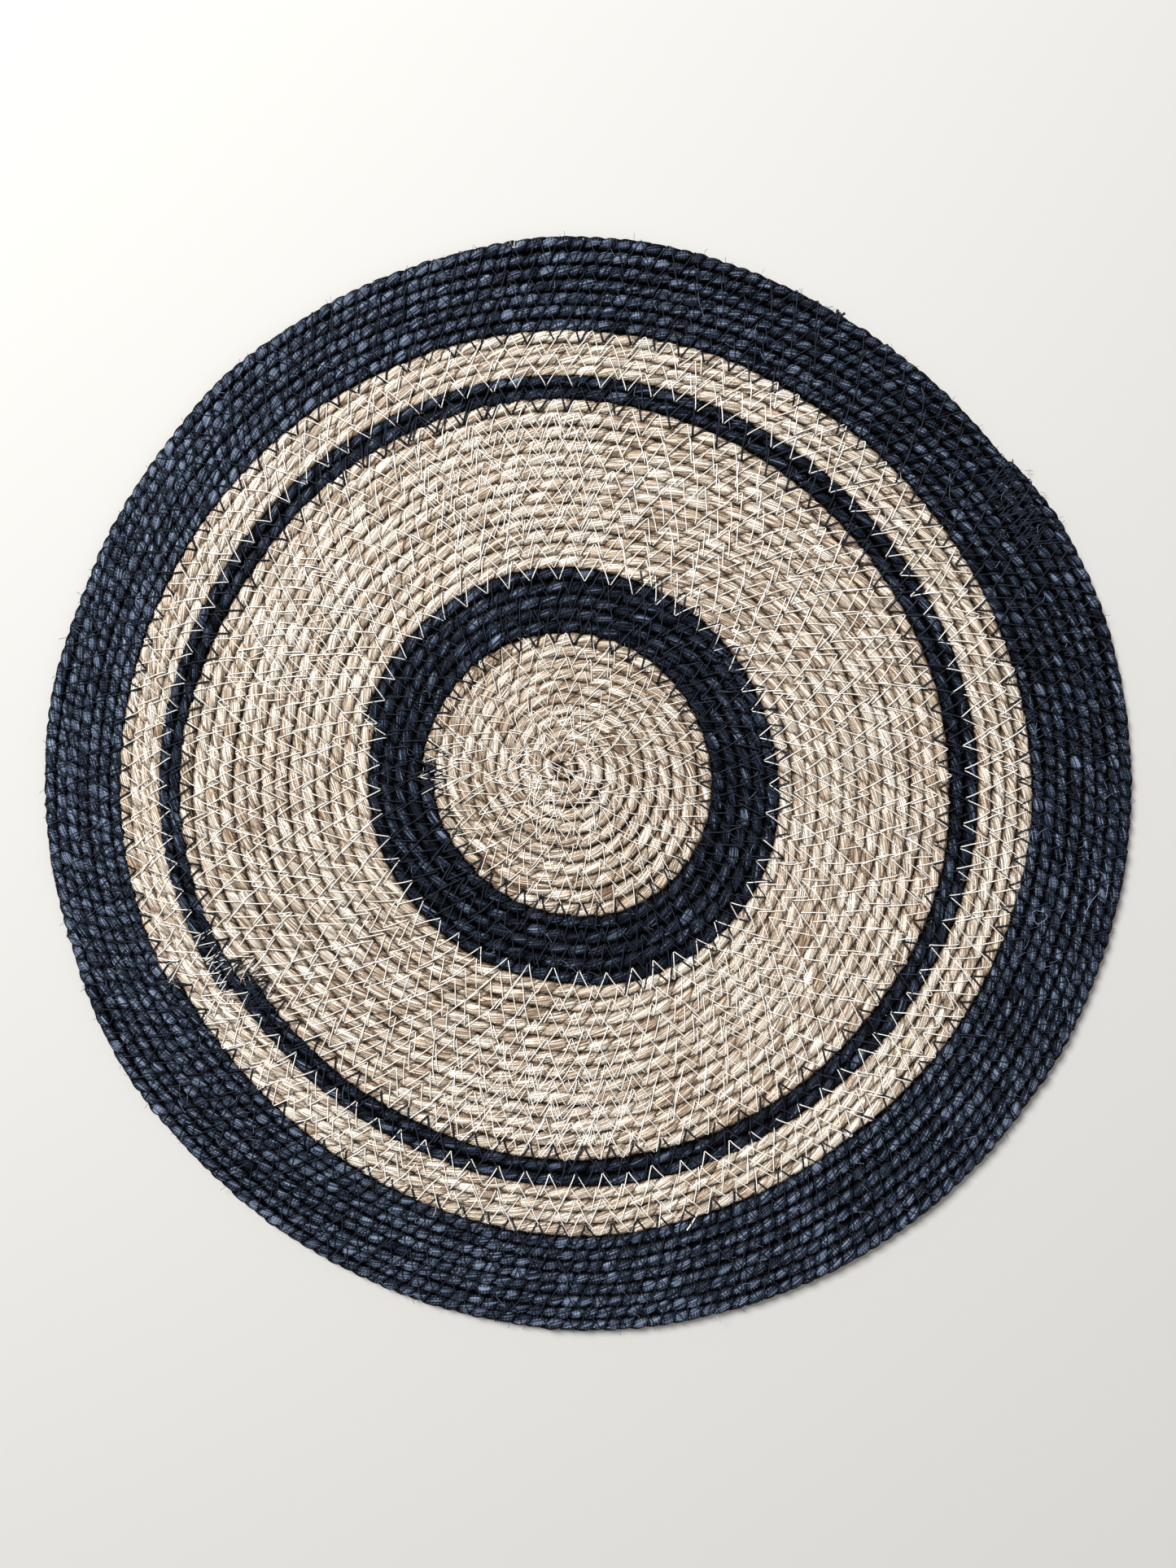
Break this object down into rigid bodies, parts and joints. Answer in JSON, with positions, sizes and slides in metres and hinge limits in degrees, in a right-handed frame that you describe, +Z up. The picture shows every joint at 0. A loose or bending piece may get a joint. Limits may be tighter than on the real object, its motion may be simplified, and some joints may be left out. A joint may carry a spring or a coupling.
{
  "type": "round seagrass placemat",
  "caption": "Flat round placemat of twisted seagrass rope, coiled from the middle outwards and sewn turn to turn, in natural and navy rings.",
  "frame": {"origin": "under the middle of the mat's outline, on the surface that it lies on", "axes": "+Z up, through the mat's thickness; +X to the right and +Y to the far side in the picture's view from above"},
  "size_m": [0.3795, 0.3825, 0.0048],
  "materials": {
    "natural_rope": "dry undyed seagrass, matte with a faint straw sheen",
    "navy_rope": "seagrass dyed navy, matte with a faint straw sheen"
  },
  "bodies": {
    "root": {"centre_coil": "natural_rope", "inner_navy_ring": "navy_rope", "wide_natural_ring": "natural_rope", "thin_navy_ring": "navy_rope", "narrow_natural_ring": "natural_rope", "outer_navy_ring": "navy_rope"}
  },
  "joints": []
}
